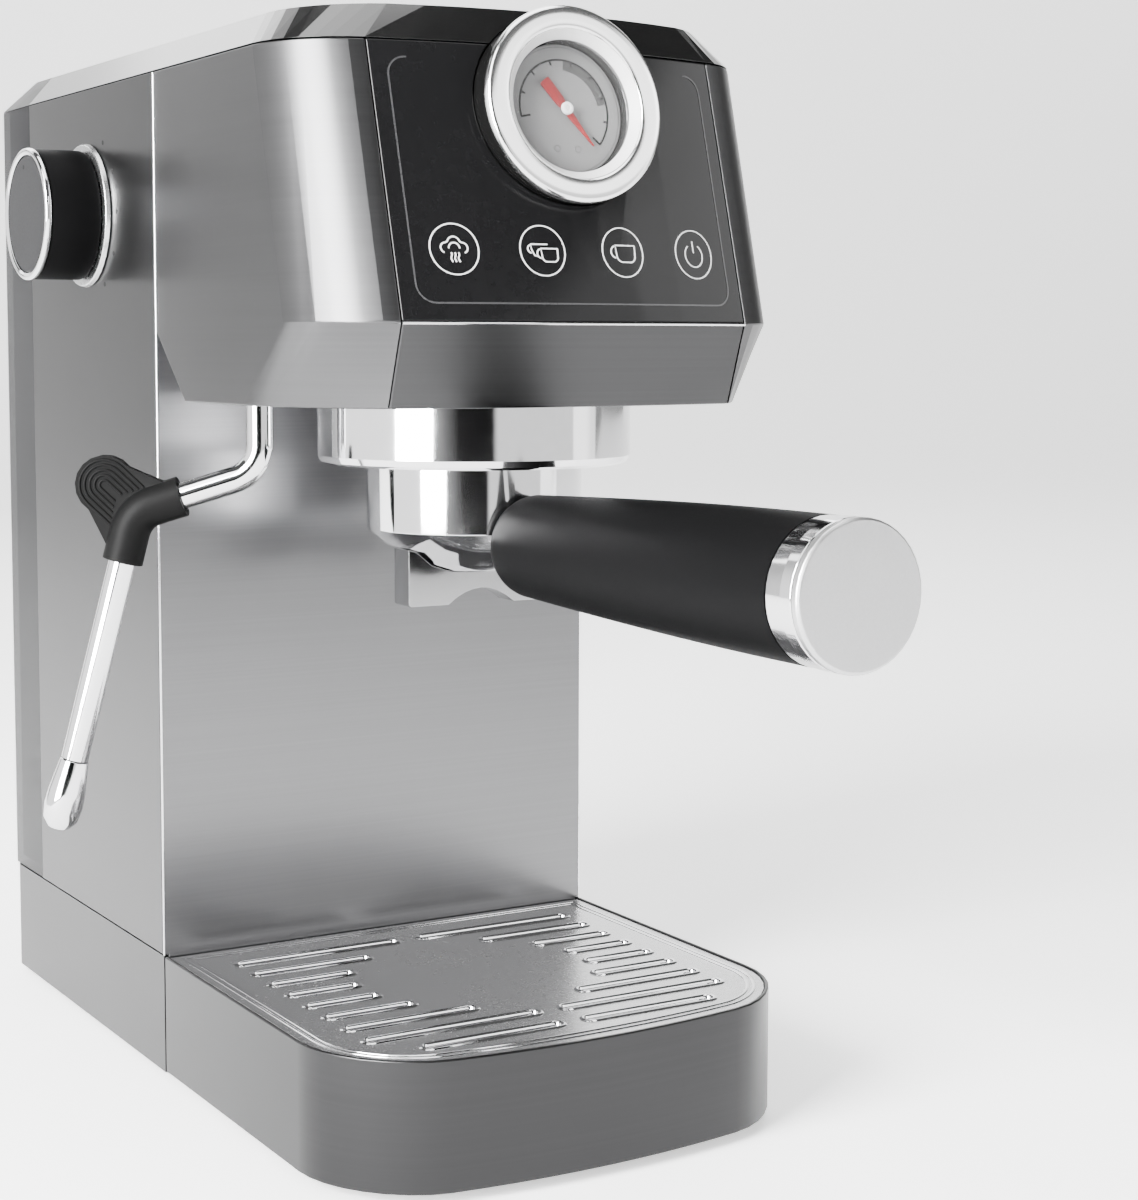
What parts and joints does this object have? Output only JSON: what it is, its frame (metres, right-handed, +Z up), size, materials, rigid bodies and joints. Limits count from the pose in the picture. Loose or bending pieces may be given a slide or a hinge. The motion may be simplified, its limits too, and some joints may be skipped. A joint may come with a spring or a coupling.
{
  "type": "espresso machine",
  "caption": "Slim home espresso machine: steel body, lever-locked portafilter, steam wand and knob, pressure gauge, touch panel, drip tray with grate, and a rear water tank.",
  "frame": {"origin": "on the surface it stands on, under the centre of its bounding box", "axes": "+Z up; -Y to the front, where the portafilter's handle points; the steam knob and wand are on the -X side"},
  "size_m": [0.1928, 0.3968, 0.319],
  "materials": {
    "brushed_steel": "horizontally brushed stainless sheet",
    "bright_steel": "smooth bright stainless",
    "chrome": "polished chrome plate",
    "satin_metal": "satin turned metal",
    "aluminium": "cast aluminium, unpainted",
    "brass": "machined brass",
    "gloss_black": "glossy black moulding",
    "black_glass": "opaque black glass",
    "matte_black": "matte black moulding",
    "black_rubber": "black rubber",
    "red_rubber": "red silicone rubber",
    "smoke_plastic": "smoke-tinted clear moulding",
    "dial_grey": "printed pale grey dial",
    "needle_red": "dark red painted pointer",
    "white_plastic": "white moulding",
    "clear_lens": "clear flat lens",
    "knob_grey": "dark grey satin moulding",
    "board_green": "circuit board"
  },
  "bodies": {
    "frame": {"base_plate": "matte_black", "base_shell": "brushed_steel", "boiler": "aluminium", "column_front": "brushed_steel", "control_board": "board_green", "control_glass": "black_glass", "cup_plate": "matte_black", "foot_1": "black_rubber", "foot_2": "black_rubber", "foot_3": "black_rubber", "foot_4": "black_rubber", "gauge_bezel": "chrome", "gauge_dial": "dial_grey", "gauge_housing": "gloss_black", "gauge_lens": "clear_lens", "group_collar": "chrome", "group_gasket": "black_rubber", "head_floor": "matte_black", "head_rear_floor": "brushed_steel", "head_wrap": "brushed_steel", "knob_plate": "brushed_steel", "lower_fascia": "brushed_steel", "power_inlet": "black_rubber", "pump": "satin_metal", "pump_mount_1": "black_rubber", "pump_mount_2": "black_rubber", "rear_wall": "matte_black", "screen_screw": "bright_steel", "shower_screen": "bright_steel", "side_panel_left": "brushed_steel", "side_panel_right": "brushed_steel", "steam_valve": "brass", "suction_hose": "white_plastic", "tank_seat": "black_rubber", "top_cover": "gloss_black", "touch_board": "board_green", "wand_socket": "brass"},
    "tray": {"drip_tray": "matte_black", "tray_skin": "brushed_steel"},
    "grate": {"drip_grate": "bright_steel"},
    "tank": {"lid_pin": "bright_steel", "tank_valve": "red_rubber", "water_tank": "smoke_plastic"},
    "lid": {"tank_lid": "smoke_plastic"},
    "portafilter": {"filter_basket": "bright_steel", "handle_cap": "satin_metal", "handle_grip": "matte_black", "handle_ring": "chrome", "handle_stud": "bright_steel", "portafilter_body": "chrome", "twin_spout": "chrome"},
    "wand": {"steam_nozzle": "chrome", "wand_grip": "black_rubber", "wand_tube": "chrome"},
    "knob": {"knob_body": "matte_black", "knob_face": "knob_grey", "knob_ring": "chrome", "valve_stem": "bright_steel"},
    "needle": {"gauge_hub": "white_plastic", "gauge_needle": "needle_red"}
  },
  "joints": [
    {"name": "tray_slide", "type": "slide", "parent": "frame", "child": "tray", "axis": [0, -1, 0], "range_m": [0, 0.137]},
    {"name": "grate_lift", "type": "slide", "parent": "tray", "child": "grate", "axis": [0, 0, 1], "range_m": [0, 0.045]},
    {"name": "tank_lift", "type": "slide", "parent": "frame", "child": "tank", "axis": [0, 0, 1], "range_m": [0, 0.27]},
    {"name": "lid_hinge", "type": "hinge", "parent": "tank", "child": "lid", "pos_m": [0.02138, 0.1961, 0.308], "axis": [-1, 0, 0], "range_deg": [0, 100]},
    {"name": "portafilter_turn", "type": "hinge", "parent": "frame", "child": "portafilter", "pos_m": [0.02138, -0.0175, 0.1732], "axis": [0, 0, 1], "range_deg": [0, 45]},
    {"name": "wand_swivel", "type": "hinge", "parent": "frame", "child": "wand", "pos_m": [-0.04032, -0.0025, 0.2106], "axis": [0, 0, 1], "range_deg": [-25, 110]},
    {"name": "knob_turn", "type": "hinge", "parent": "frame", "child": "knob", "pos_m": [-0.05362, 0.103, 0.2682], "axis": [-1, 0, 0], "range_deg": [0, 180]},
    {"name": "gauge_pointer", "type": "hinge", "parent": "frame", "child": "needle", "pos_m": [0.02138, -0.0751, 0.2924], "axis": [0, -0.9821, 0.1882], "range_deg": [0, 242], "stiffness_Nm_per_rad": 0.001}
  ]
}
